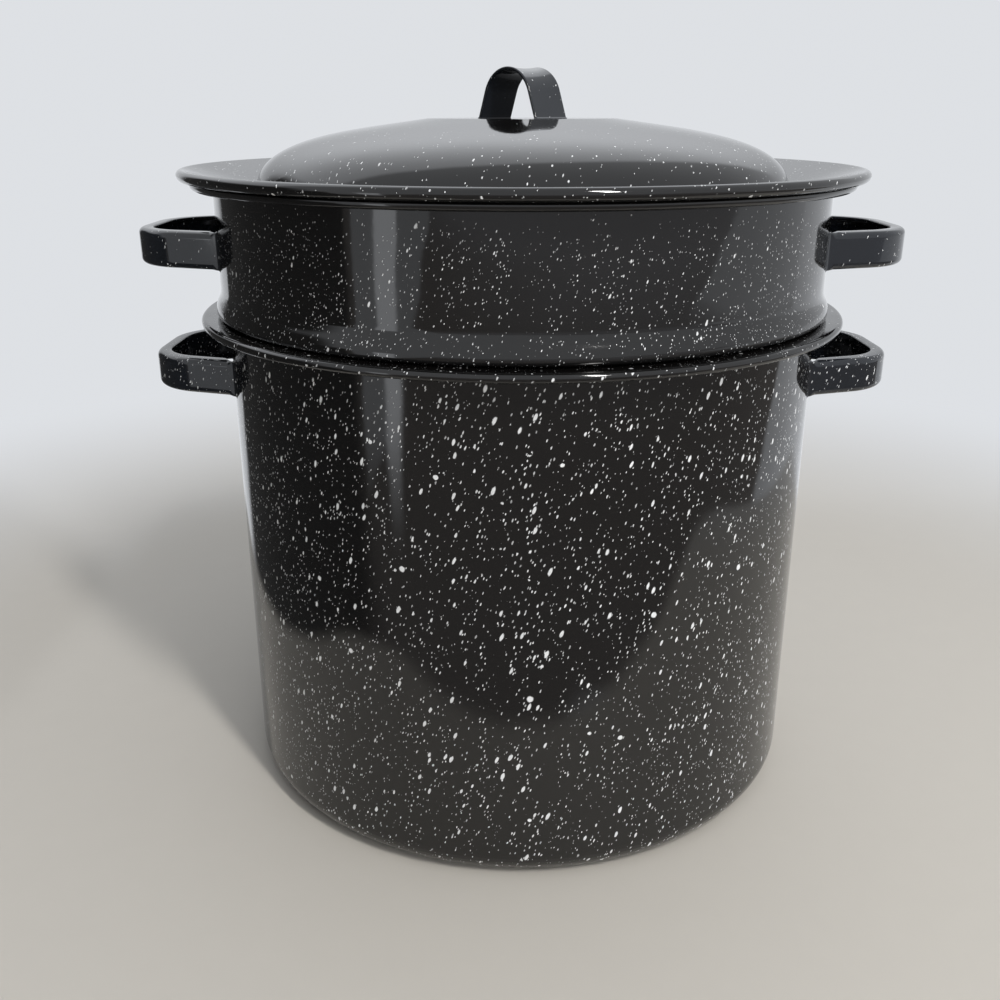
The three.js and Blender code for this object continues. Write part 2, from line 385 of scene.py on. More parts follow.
def insert_line(b):
    """The outside of the insert: basket, shoulder, swell, collar and rim."""
    r = radii(b)
    floor = Vector((r["basket"] - b.basket_round, r["basket_floor"] + b.basket_round))
    bend = Vector((r["basket"] + b.basket_bend, r["seat"] - b.basket_bend))
    shoulder = Vector((r["shoulder"] - b.shoulder_round, r["seat"] + b.shoulder_round))
    start = Vector((r["shoulder"], r["seat"] + b.shoulder_round))
    end = Vector((r["collar"], r["seat"] + b.shoulder_height))
    middle = (start.y + end.y) / 2
    swell = swept_curve(
        start, Vector((start.x, middle)), Vector((end.x, middle)), end, ARC_STEPS)
    rim = rolled_rim(
        r["collar"], r["insert_top"], b.insert_rim_bend, r["rim"], b.rim_curl, b.sheet)
    return ([Vector((0.0, r["basket_floor"]))] + arc(floor, b.basket_round, -90, 0)
            + arc(bend, b.basket_bend, 180, 90) + arc(shoulder, b.shoulder_round, -90, 0)
            + swell[1:] + rim)


def lid_line(b):
    """The underside of the lid: flat, dome, trough, sloping flange and rolled edge."""
    r = radii(b)
    slope = math.radians(b.lid_slope)
    edge = Vector((r["collar"] + b.insert_rim_bend, r["insert_top"] - b.sheet - b.insert_rim_bend))
    seat = edge + along(90 + b.lid_slope, b.insert_rim_bend + b.sheet + b.seat_gap)

    def flange_height(radius):
        return seat.y + (radius - seat.x) * math.tan(slope)

    inside = b.lid_curl - b.sheet
    curl_x = r["lid"] - b.lid_curl
    curl = Vector((curl_x, flange_height(curl_x) - inside / math.cos(slope)))

    outside = b.trough_round + b.sheet
    from_dome = along(90 - b.shoulder_angle, outside)
    to_flange = along(b.lid_slope - 90, outside)
    foot_x = r["dome"] - b.sheet
    foot_y = flange_height(foot_x + from_dome.x + to_flange.x) - from_dome.y - to_flange.y
    foot = Vector((foot_x, foot_y))
    crown = Vector((b.plateau_radius, r["lid_top"] - b.sheet))
    dome = swept_curve(
        crown, crown + along(-b.crown_angle, b.crown_pull),
        foot - along(-b.shoulder_angle, b.shoulder_pull), foot, DOME_STEPS)
    trough = arc(foot + from_dome, outside, 270 - b.shoulder_angle, 270 + b.lid_slope)
    return ([Vector((0.0, r["lid_top"] - b.sheet))] + dome + trough[1:]
            + arc(curl, inside, 90 + b.lid_slope, CURL_END, CURL_STEPS))


def turned_mesh(name, profile):
    """A closed profile of radius and height, turned about the upright axis."""
    corners = []
    rings = []
    for p in profile:
        if p.x < ON_AXIS:
            rings.append([len(corners)] * AROUND)
            corners.append((0.0, 0.0, p.y))
            continue
        rings.append(list(range(len(corners), len(corners) + AROUND)))
        for k in range(AROUND):
            turn = 2 * math.pi * k / AROUND
            corners.append((p.x * math.cos(turn), p.x * math.sin(turn), p.y))
    faces = []
    for lower, upper in zip(rings, rings[1:] + rings[:1]):
        for k in range(AROUND):
            n = (k + 1) % AROUND
            face = list(dict.fromkeys((lower[k], lower[n], upper[n], upper[k])))
            if len(face) > 2:
                faces.append(face)
    mesh = bpy.data.meshes.new(name)
    mesh.from_pydata(corners, [], faces)
    return mesh


def smoothed(mesh):
    """Smooth shading, with the real corners kept sharp."""
    mesh.polygons.foreach_set("use_smooth", [True] * len(mesh.polygons))
    mesh.set_sharp_from_angle(angle=CREASE)
    mesh.update()


def made_piece(mesh, body, node, material):
    """Puts a mesh in the scene as a piece that stands for a node of the frame."""
    piece = bpy.data.objects.new(mesh.name, mesh)
    bpy.context.scene.collection.objects.link(piece)
    mesh.materials.append(material)
    smoothed(mesh)
    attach(piece, body)
    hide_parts(node)
    return piece


def placed(tree, kind, inputs=None, **settings):
    """Adds a node with its settings, and fills or links its inputs."""
    node = tree.nodes.new(kind)
    for key, value in settings.items():
        setattr(node, key, value)
    for key, value in (inputs or {}).items():
        if isinstance(value, bpy.types.NodeSocket):
            tree.links.new(value, node.inputs[key])
        else:
            node.inputs[key].default_value = value
    return node


def calculated(tree, operation, first, second=0.0):
    """The output of a math node."""
    return placed(tree, "ShaderNodeMath", {0: first, 1: second}, operation=operation).outputs[0]


def ranged(tree, value, low, high, to_low=0.0, to_high=1.0, smooth=False):
    """The output of a map range node."""
    kind = "SMOOTHSTEP" if smooth else "LINEAR"
    inputs = {0: value, 1: low, 2: high, 3: to_low, 4: to_high}
    return placed(tree, "ShaderNodeMapRange", inputs, interpolation_type=kind).outputs[0]


def blended(tree, factor, first, second):
    """The output of a colour mix node."""
    inputs = {0: factor, 6: first, 7: second}
    return placed(tree, "ShaderNodeMix", inputs, data_type="RGBA").outputs[2]


def scaled(tree, vector, factor):
    """A vector times a number."""
    return placed(tree, "ShaderNodeVectorMath", {0: vector, "Scale": factor}, operation="SCALE").outputs[0]


def noise(tree, place, scale, detail):
    """The value and colour outputs of a noise node."""
    return placed(tree, "ShaderNodeTexNoise", {"Vector": place, "Scale": scale, "Detail": detail}).outputs


def speck_layer(tree, place, cell, small, large, amount):
    """Mask and tone of one size of specks: some of the cells hold a round speck each."""
    cells = placed(tree, "ShaderNodeTexVoronoi", {"Vector": place, "Scale": 1.0 / cell})
    draw = placed(tree, "ShaderNodeSeparateColor", {0: cells.outputs["Color"]})
    present = calculated(tree, "LESS_THAN", draw.outputs[0], amount)
    size = calculated(tree, "POWER", draw.outputs[1], SPECK_SKEW)
    size = ranged(tree, size, 0.0, 1.0, small / cell, large / cell)
    core = calculated(tree, "MULTIPLY", size, SPECK_CORE)
    spot = ranged(tree, cells.outputs["Distance"], size, core)
    return calculated(tree, "MULTIPLY", spot, present), draw.outputs[2]


def enamel_group():
    """Black enamel with off-white specks of three sizes: colour, roughness and height."""
    found = bpy.data.node_groups.get("Speckled enamel")
    if found:
        return found
    tree = bpy.data.node_groups.new("Speckled enamel", "ShaderNodeTree")
    face = tree.interface
    for name in ("Ground", "Speck"):
        face.new_socket(name, in_out="INPUT", socket_type="NodeSocketColor")
    for name in ("Fine", "Middle", "Large", "Thin from", "Thin to", "Fineness", "Tip", "Gloss"):
        face.new_socket(name, in_out="INPUT", socket_type="NodeSocketFloat")
    face.new_socket("Color", in_out="OUTPUT", socket_type="NodeSocketColor")
    for name in ("Roughness", "Height"):
        face.new_socket(name, in_out="OUTPUT", socket_type="NodeSocketFloat")
    given = tree.nodes.new("NodeGroupInput").outputs
    result = tree.nodes.new("NodeGroupOutput")

    point = placed(tree, "ShaderNodeTexCoord").outputs["Object"]
    millimetres = scaled(tree, point, MILLIMETRES_IN_METRE)
    grain = scaled(tree, millimetres, given["Fineness"])
    lean = placed(tree, "ShaderNodeCombineXYZ", {0: given["Tip"], 1: SPECK_LEAN}).outputs[0]
    leaning = placed(
        tree, "ShaderNodeMapping",
        {"Vector": grain, "Rotation": lean, "Scale": (1.0, 1.0, SPECK_STRETCH)},
        vector_type="TEXTURE").outputs[0]
    ripple = noise(tree, leaning, RIPPLE_NOISE, 1.0)
    offset = placed(
        tree, "ShaderNodeVectorMath", {0: ripple[1], 1: (0.5, 0.5, 0.5)}, operation="SUBTRACT").outputs[0]
    offset = scaled(tree, offset, SPECK_RIPPLE)
    spot, round_spot = (
        placed(tree, "ShaderNodeVectorMath", {0: start, 1: offset}, operation="ADD").outputs[0]
        for start in (leaning, grain))

    # Specks come in drifts and thin out towards a given height
    drift = noise(tree, millimetres, DRIFT_NOISE, 3.0)[0]
    drift = ranged(tree, drift, *DRIFT_SPAN, *DRIFT_AMOUNT)
    height = placed(tree, "ShaderNodeSeparateXYZ", {0: point}).outputs[2]
    thinning = ranged(tree, height, given["Thin from"], given["Thin to"], 1.0, 0.0, True)
    amount = calculated(tree, "MULTIPLY", drift, thinning)
    fine_amount = calculated(tree, "MULTIPLY", amount, given["Fine"])
    middle_amount = calculated(tree, "MULTIPLY", amount, given["Middle"])
    large_amount = calculated(tree, "MULTIPLY", thinning, given["Large"])

    fine, fine_tone = speck_layer(tree, spot, *FINE_SPECKS, fine_amount)
    middle, middle_tone = speck_layer(tree, spot, *MIDDLE_SPECKS, middle_amount)
    large = speck_layer(tree, round_spot, *LARGE_SPECKS, large_amount)[0]
    fine = calculated(tree, "MULTIPLY", fine, ranged(tree, fine_tone, 0.0, 1.0, *FINE_TONE))
    middle = calculated(tree, "MULTIPLY", middle, ranged(tree, middle_tone, 0.0, 1.0, *MIDDLE_TONE))
    mask = calculated(tree, "MAXIMUM", calculated(tree, "MAXIMUM", fine, middle), large)

    haze = noise(tree, millimetres, HAZE_NOISE, 4.0)[0]
    rough = ranged(tree, haze, *HAZE_SPAN, *HAZE_ROUGHNESS)
    rough = calculated(tree, "MULTIPLY", rough, given["Gloss"])
    rough = calculated(tree, "ADD", rough, calculated(tree, "MULTIPLY", mask, SPECK_ROUGHNESS))

    wave = noise(tree, millimetres, WAVE_NOISE, 1.0)[0]
    peel = noise(tree, millimetres, PEEL_NOISE, 1.0)[0]
    relief = calculated(tree, "MULTIPLY", wave, WAVE_RELIEF)
    relief = calculated(tree, "ADD", relief, calculated(tree, "MULTIPLY", peel, PEEL_RELIEF))
    relief = calculated(tree, "ADD", relief, calculated(tree, "MULTIPLY", mask, SPECK_RELIEF))

    tree.links.new(blended(tree, mask, given["Ground"], given["Speck"]), result.inputs["Color"])
    tree.links.new(rough, result.inputs["Roughness"])
    tree.links.new(relief, result.inputs["Height"])
    return tree


def enamel_material(piece, thinning=NO_THINNING, tip=0.0):
    """Speckled enamel with the ground coat and the specks of a piece, which may thin out upwards. On the
    handles the ground coat is tinted blue as a painted reflection.
    """
    name = f"{piece} enamel"
    found = bpy.data.materials.get(name)
    if found:
        return found
    look = bpy.context.scene.blancher_enamel
    # The handles take the black ground coat with a blue tint, which is a painted reflection
    ground = look.handle_ground_and_painted_reflection if piece.endswith("handle") else look.ground
    material = bpy.data.materials.new(name)
    material.use_nodes = True
    tree = material.node_tree
    shader = tree.nodes["Principled BSDF"]
    specks = placed(tree, "ShaderNodeGroup", node_tree=enamel_group())
    fine, middle, large, fineness = SPECKS[piece]
    for key, value in (
            ("Ground", (*ground, 1.0)), ("Speck", (*look.speck, 1.0)), ("Fine", fine),
            ("Middle", middle), ("Large", large), ("Thin from", thinning[0]),
            ("Thin to", thinning[1]), ("Fineness", fineness), ("Tip", tip), ("Gloss", look.gloss)):
        specks.inputs[key].default_value = value
    bump = placed(
        tree, "ShaderNodeBump",
        {"Height": specks.outputs["Height"], "Distance": RELIEF_DEPTH, "Strength": 1.0})
    tree.links.new(specks.outputs["Color"], shader.inputs["Base Color"])
    tree.links.new(specks.outputs["Roughness"], shader.inputs["Roughness"])
    tree.links.new(bump.outputs[0], shader.inputs["Normal"])
    shader.inputs["IOR"].default_value = ENAMEL_IOR
    return material


class BLANCHER_OT_pot(bpy.types.Operator):
    """Turns the deep pot with its flat rim and rolled edge."""

    bl_idname = "blancher.pot"
    bl_label = "Pot"

    def execute(self, context):
        b = context.scene.blancher_bodies
        mesh = turned_mesh("pot_sheet", thickened(supported(pot_line(b)), b.sheet))
        finish = enamel_material("pot", [b.pot_height + rise for rise in POT_THINNING])
        made_piece(mesh, "pot", "pot_body", finish)
        return {"FINISHED"}


def hole_places(b):
    """Places of the basket's holes: rings in the floor, then rows round the wall."""
    r = radii(b)
    places = [Matrix.Translation((0.0, 0.0, r["basket_floor"]))]
    for ring in range(1, FLOOR_RINGS + 1):
        count = RING_HOLES * ring
        for i in range(count):
            spot = along(360 * i / count, ring * b.floor_ring_pitch)
            places.append(Matrix.Translation((spot.x, spot.y, r["basket_floor"])))
    pitch = 360 / ROW_HOLES
    for row in range(WALL_ROWS):
        height = r["basket_floor"] + b.wall_row_start + row * b.wall_row_pitch
        for i in range(ROW_HOLES):
            turn = math.radians(pitch * i + pitch * row / 3 + pitch / 6)
            outward = Matrix.Rotation(turn, 4, "Z") @ Matrix.Translation((r["basket"], 0.0, height))
            places.append(outward @ Matrix.Rotation(math.pi / 2, 4, "Y"))
    return places


def pierced(mesh, b):
    """Cuts the holes out of the basket."""
    drills = bmesh.new()
    for place in hole_places(b):
        bmesh.ops.create_cone(
            drills, cap_ends=True, segments=HOLE_SIDES, radius1=b.hole_radius, radius2=b.hole_radius,
            depth=DRILL_DEPTH, matrix=place)
    drill_mesh = bpy.data.meshes.new("drills")
    drills.to_mesh(drill_mesh)
    drills.free()
    drill = bpy.data.objects.new("drills", drill_mesh)
    blank = bpy.data.objects.new("blank", mesh)
    for made in (drill, blank):
        bpy.context.scene.collection.objects.link(made)
    cut = blank.modifiers.new("holes", "BOOLEAN")
    cut.operation = "DIFFERENCE"
    cut.solver = "EXACT"
    cut.object = drill
    shaped = blank.evaluated_get(bpy.context.evaluated_depsgraph_get())
    result = bpy.data.meshes.new_from_object(shaped)
    for made in (drill, blank):
        bpy.data.objects.remove(made)
    bpy.data.meshes.remove(drill_mesh)
    bpy.data.meshes.remove(mesh)
    return result


def rounded_normals(mesh, low, high):
    """Keeps the pierced wall round in its shading between two heights."""
    normals = [corner.vector.copy() for corner in mesh.corner_normals]
    for face in mesh.polygons:
        out = Vector((face.center.x, face.center.y, 0.0)).normalized()
        facing = face.normal.dot(out)
        if low < face.center.z < high and abs(facing) > WALL_FACING:
            for corner in face.loop_indices:
                place = mesh.vertices[mesh.loops[corner].vertex_index].co
                radial = Vector((place.x, place.y, 0.0)).normalized()
                normals[corner] = radial if facing > 0 else -radial
    mesh.normals_split_custom_set(normals)


class BLANCHER_OT_insert(bpy.types.Operator):
    """Turns the insert and pierces the basket that hangs in the pot."""

    bl_idname = "blancher.insert"
    bl_label = "Insert"

    def execute(self, context):
        b = context.scene.blancher_bodies
        r = radii(b)
        mesh = turned_mesh("insert_blank", thickened(supported(insert_line(b)), b.sheet))
        mesh = pierced(mesh, b)
        mesh.name = "insert_sheet"
        mesh.materials.clear()
        finish = enamel_material("insert", [r["insert_top"] + rise for rise in INSERT_THINNING])
        made_piece(mesh, "insert", "insert_body", finish)
        rounded_normals(mesh, r["basket_floor"] + b.basket_round, r["seat"] - b.basket_bend)
        return {"FINISHED"}


class BLANCHER_OT_lid(bpy.types.Operator):
    """Turns the domed lid with its trough, sloping flange and rolled edge."""

    bl_idname = "blancher.lid"
    bl_label = "Lid"

    def execute(self, context):
        b = context.scene.blancher_bodies
        r = radii(b)
        mesh = turned_mesh("lid_sheet", thickened(supported(lid_line(b)), b.sheet))
        finish = enamel_material("lid", [r["lid_top"] + rise for rise in LID_THINNING], LID_TIP)
        made_piece(mesh, "lid", "lid_shell", finish)
        return {"FINISHED"}


def outer_face(flat):
    """Points of half the strap's outer face, up to where its edge begins."""
    return [Vector((0.0, 0.0)), Vector((0.0, flat * 0.5)), Vector((0.0, flat - SUPPORT))]


def channel_section(h):
    """Half of the strap's section where its edges are turned in, from the outer to the inner face."""
    top = h.strap_height / 2
    end = h.strap / 2
    flat = top - h.edge_round
    turn = Vector((-h.edge_round, flat))
    return (outer_face(flat)
            + arc(turn, h.edge_round, 0, 90, EDGE_STEPS)
            + arc(Vector((end - h.lip_depth, top - end)), end, 90, 270, EDGE_STEPS)
            + arc(turn, h.edge_round - h.strap, 90, 0, INNER_STEPS)
            + [Vector((-h.strap, flat * 0.5)), Vector((-h.strap, 0.0))])


def plate_section(h):
    """The same half section where the strap is flat, next to the wall."""
    edge = h.cut_edge
    flat = h.strap_height / 2 - edge
    inner = [Vector((-h.strap, flat * mark)) for mark in (0.93, 0.88, 0.82, 0.75, 0.65, 0.4, 0.0)]
    return (outer_face(flat)
            + arc(Vector((-edge, flat)), edge, 0, 90, EDGE_STEPS)
            + arc(Vector((edge - h.strap, flat)), edge, 90, 180, EDGE_STEPS)
            + inner)


def closed_section(half):
    """Both halves of a section as one loop."""
    return half + [Vector((p.x, -p.y)) for p in half[-2:0:-1]]


def welded(section, strap, radius, distance):
    """Spreads a section out into the weld where it comes close to the wall."""
    if distance >= radius:
        return section
    spread = radius - math.sqrt(radius**2 - (radius - distance) ** 2)
    result = []
    for p in section:
        side = max(-1.0, min(1.0, 2.0 * p.x / strap + 1.0))
        rise = math.copysign(min(1.0, abs(p.y) / (WELD_TURN * strap)), p.y)
        result.append(Vector((p.x + side * spread, p.y + rise * spread)))
    return result


def loop_sections(h, wall):
    """Sections along half a loop, from the wall to the middle of the outer bar."""
    side = h.loop_width / 2
    across = along(90 - h.arm_lean, 1.0)
    back = along(180 - h.arm_lean, 1.0)
    arm_x = math.sqrt(wall**2 - side**2)
    bar = wall + h.loop_reach
    centre_x = bar - h.loop_corner
    centre_y = side - (h.loop_corner - (arm_x - centre_x) * across.x) / across.y
    centre = Vector((centre_x, centre_y))
    channel = closed_section(channel_section(h))
    plate = closed_section(plate_section(h))
    inside = wall - h.weld_sink

    def arm_point(p, distance, mark):
        begin = centre + across * (h.loop_corner + p.x)
        facing = begin.dot(back)
        run = -facing - math.sqrt(facing**2 - begin.length_squared + inside**2)
        spot = begin + back * (run - distance) * (1.0 - mark)
        return Vector((spot.x, spot.y, p.y))

    steps = [(h.weld_sink + h.weld * i / WELD_STEPS, 0.0) for i in range(WELD_STEPS + 1)]
    steps += [(h.lip_start + h.lip_fade * i / LIP_STEPS, 0.0) for i in range(1, LIP_STEPS + 1)]
    lips_end = h.lip_start + h.lip_fade
    steps += [(lips_end, mark) for mark in (0.33, 0.66, 0.97)]
    sections = []
    for distance, mark in [(0.0, 0.0)] + steps:
        turned = min(1.0, max(0.0, (distance - h.lip_start) / h.lip_fade))
        turned = turned * turned * (3.0 - 2.0 * turned)
        shape = [flat.lerp(deep, turned) for flat, deep in zip(plate, channel)]
        shape = welded(shape, h.strap, h.weld, max(0.0, distance - h.weld_sink))
        sections.append([arm_point(p, distance, mark) for p in shape])
    for i in range(CORNER_STEPS + 1):
        angle = (90 - h.arm_lean) * (1.0 - i / CORNER_STEPS)
        spots = [centre + along(angle, h.loop_corner + p.x) for p in channel]
        sections.append([Vector((spot.x, spot.y, p.y)) for spot, p in zip(spots, channel)])
    for mark in (0.95, 0.5, 0.0):
        sections.append([Vector((bar + p.x, centre_y * mark, p.y)) for p in channel])
    return sections


def swept_mesh(name, sections):
    """Joins sections of equally many points, one after the other, and closes both ends."""
    made = bmesh.new()
    rings = [[made.verts.new(p) for p in section] for section in sections]
    count = len(rings[0])
    for before, after in zip(rings, rings[1:]):
        for k in range(count):
            n = (k + 1) % count
            made.faces.new((before[k], before[n], after[n], after[k]))
    made.faces.new(rings[0])
    made.faces.new(rings[-1])
    bmesh.ops.recalc_face_normals(made, faces=made.faces)
    mesh = bpy.data.meshes.new(name)
    made.to_mesh(mesh)
    made.free()
    return mesh


def loop_mesh(name, h, wall, height, turn):
    """One side handle: two arms that are welded to the wall, and the outer bar."""
    half = loop_sections(h, wall)
    other = [[Vector((p.x, -p.y, p.z)) for p in section] for section in half[-2::-1]]
    place = Matrix.Translation((0.0, 0.0, height)) @ Matrix.Rotation(turn, 4, "Z")
    return swept_mesh(name, [[place @ p for p in section] for section in half + other])


class BLANCHER_OT_side_handles(bpy.types.Operator):
    """Sweeps the four strap loops at the sides of the pot and the insert."""

    bl_idname = "blancher.side_handles"
    bl_label = "Side handles"

    def execute(self, context):
        b = context.scene.blancher_bodies
        h = context.scene.blancher_handles
        r = radii(b)
        lower = enamel_material("lower handle")
        upper = enamel_material("upper handle")
        for body, wall, height, finish in (
                ("pot", b.pot_radius, b.pot_height - h.pot_drop, lower),
                ("insert", r["collar"], r["insert_top"] - h.insert_drop, upper)):
            for side, turn in (("left", math.pi), ("right", 0.0)):
                mesh = loop_mesh(f"{body}_strap_{side}", h, wall, height, turn)
                made_piece(mesh, body, f"{body}_handle_{side}", finish)
        return {"FINISHED"}


def arch_stations(h):
    """Places along half the arch: point, outward normal, saddle share, distance from the lid."""
    foot = Vector((h.arch_span / 2, 0.0))
    centre = Vector((0.0, h.arch_height - h.arch_radius))
    to_centre = centre - foot
    lean = math.degrees(math.atan2(to_centre.y, to_centre.x)
                        - math.asin(h.arch_radius / to_centre.length))
    outward = lean - 90
    leg = (centre + along(outward, h.arch_radius) - foot).length
    runs = [h.arch_weld * i / WELD_STEPS for i in range(WELD_STEPS + 1)]
    runs += [leg * mark for mark in (0.25, 0.4, 0.6, 0.8, 0.95)]
    stations = []
    for run in runs:
        stations.append((foot + along(lean, run), along(outward, 1.0), LEG_SADDLE * run / leg, run))
    for i in range(CORNER_STEPS + 1):
        angle = outward + (90 - outward) * i / CORNER_STEPS
        rise = LEG_SADDLE + (1.0 - LEG_SADDLE) * math.sin(math.radians(90 * i / CORNER_STEPS))
        stations.append((centre + along(angle, h.arch_radius), along(angle, 1.0), rise, leg))
    return stations


def strap_section(h):
    """Half of the flat strap's section: depth from the outer face, and distance from its middle."""
    half = h.arch_width / 2
    edge = h.arch_edge
    flat = half - edge
    marks = (0.0, 0.3, 0.55, 0.75, 0.9, 0.98)
    return ([Vector((0.0, flat * mark)) for mark in marks]
            + arc(Vector((-edge, flat)), edge, 0, 90, STRAP_EDGE_STEPS)
            + arc(Vector((edge - h.arch_strap, flat)), edge, 90, 180, STRAP_EDGE_STEPS)
            + [Vector((-h.arch_strap, flat * mark)) for mark in marks[::-1]])


class BLANCHER_OT_lid_handle(bpy.types.Operator):
    """Sweeps the arched strap on top of the lid."""

    bl_idname = "blancher.lid_handle"
    bl_label = "Lid handle"

    def execute(self, context):
        b = context.scene.blancher_bodies
        h = context.scene.blancher_handles
        base = radii(b)["lid_top"] + b.seat_gap
        half = arch_stations(h)
        strap = closed_section(strap_section(h))
        turn = Matrix.Rotation(math.radians(h.arch_turn), 4, "Z")
        place = Matrix.Translation((0.0, 0.0, base)) @ turn
        sections = []
        for point, normal, saddle, run in half:
            section = []
            for p in welded(strap, h.arch_strap, h.arch_weld, run):
                flare = h.arch_saddle * saddle * ((p.y / (h.arch_width / 2)) ** 2 - 1.0)
                spot = point + normal * (p.x + flare)
                section.append(Vector((spot.x, p.y, spot.y)))
            sections.append(section)
        # The legs end level, on the flat of the lid
        leg = (half[1][0] - half[0][0]).normalized()
        for p in sections[0]:
            drop = (p.z + b.seat_gap + h.weld_sink) / leg.y
            p.x -= leg.x * drop
            p.z -= leg.y * drop
        sections += [[Vector((-p.x, p.y, p.z)) for p in section] for section in sections[-2::-1]]
        sections = [[place @ p for p in section] for section in sections]
        mesh = swept_mesh("lid_strap", sections)
        made_piece(mesh, "lid", "lid_handle", enamel_material("lid handle"))
        return {"FINISHED"}


def sheet_of(name, corners, material):
    """A flat piece of the stage."""
    mesh = bpy.data.meshes.new(name)
    mesh.from_pydata(corners, [], [list(range(len(corners)))])
    made = bpy.data.objects.new(name, mesh)
    mesh.materials.append(material)
    bpy.context.scene.collection.objects.link(made)
    return made


def level_square(height):
    """Corners of the square that the floor and the front card fill."""
    return [(x * STAGE_HALF, y * STAGE_HALF, height) for x, y in ((-1, -1), (1, -1), (1, 1), (-1, 1))]


def standing_square(aim, distance, half):
    """Corners of a card that stands on the floor across a direction."""
    ahead = Vector(aim)
    across = ahead.cross(Vector(UPWARD))
    return [
        ahead * distance + across * half * x + Vector(UPWARD) * half * z
        for x, z in ((-1, 0), (1, 0), (1, 1), (-1, 1))]


def way_from(tree, place):
    """The direction from a place to each point of a card."""
    spot = placed(tree, "ShaderNodeTexCoord").outputs["Object"]
    way = placed(tree, "ShaderNodeVectorMath", {0: spot, 1: place}, operation="SUBTRACT").outputs[0]
    return placed(tree, "ShaderNodeVectorMath", {0: way}, operation="NORMALIZE").outputs[0]


def emptied(material):
    """The node tree of a new material, with nothing in it yet."""
    material.use_nodes = True
    material.node_tree.nodes.clear()
    return material.node_tree


def gloss_card(name, corners, material, cover, colour, strength=1.0):
    """A glowing card that only the gloss shows, as far as its cover goes."""
    tree = material.node_tree
    glow = placed(tree, "ShaderNodeEmission", {"Color": colour, "Strength": strength})
    clear = placed(tree, "ShaderNodeBsdfTransparent")
    mixed = placed(tree, "ShaderNodeMixShader", {0: cover, 1: clear.outputs[0], 2: glow.outputs[0]})
    placed(tree, "ShaderNodeOutputMaterial", {"Surface": mixed.outputs[0]})
    card = sheet_of(name, corners, material)
    card.visible_camera = False
    card.visible_diffuse = False
    card.visible_shadow = False


def shows_background(tree):
    """Rays that meet the plain background: from the camera, from gloss and through glass."""
    path = placed(tree, "ShaderNodeLightPath").outputs
    mirrored = calculated(tree, "MAXIMUM", path["Is Glossy Ray"], path["Is Transmission Ray"])
    return calculated(tree, "MAXIMUM", path["Is Camera Ray"], mirrored)


def towards(tree, way, aim, low, high):
    """How far a place or a direction lies to one side: 0 up to a low distance, 1 from a high one."""
    reach = placed(tree, "ShaderNodeVectorMath", {0: way, 1: aim}, operation="DOT_PRODUCT")
    return ranged(tree, reach.outputs["Value"], low, high, 0.0, 1.0, True)


def lamp(name, place, size, watts, colour):
    """A soft rectangular lamp that faces the object and isn't seen itself."""
    light = bpy.data.lights.new(name, "AREA")
    light.shape = "RECTANGLE"
    light.size, light.size_y = size
    light.energy = watts
    light.color = colour
    made = bpy.data.objects.new(name, light)
    made.location = place
    made.rotation_euler = (LAMP_TARGET - Vector(place)).to_track_quat("-Z", "Y").to_euler()
    made.visible_camera = False
    bpy.context.scene.collection.objects.link(made)
    return made


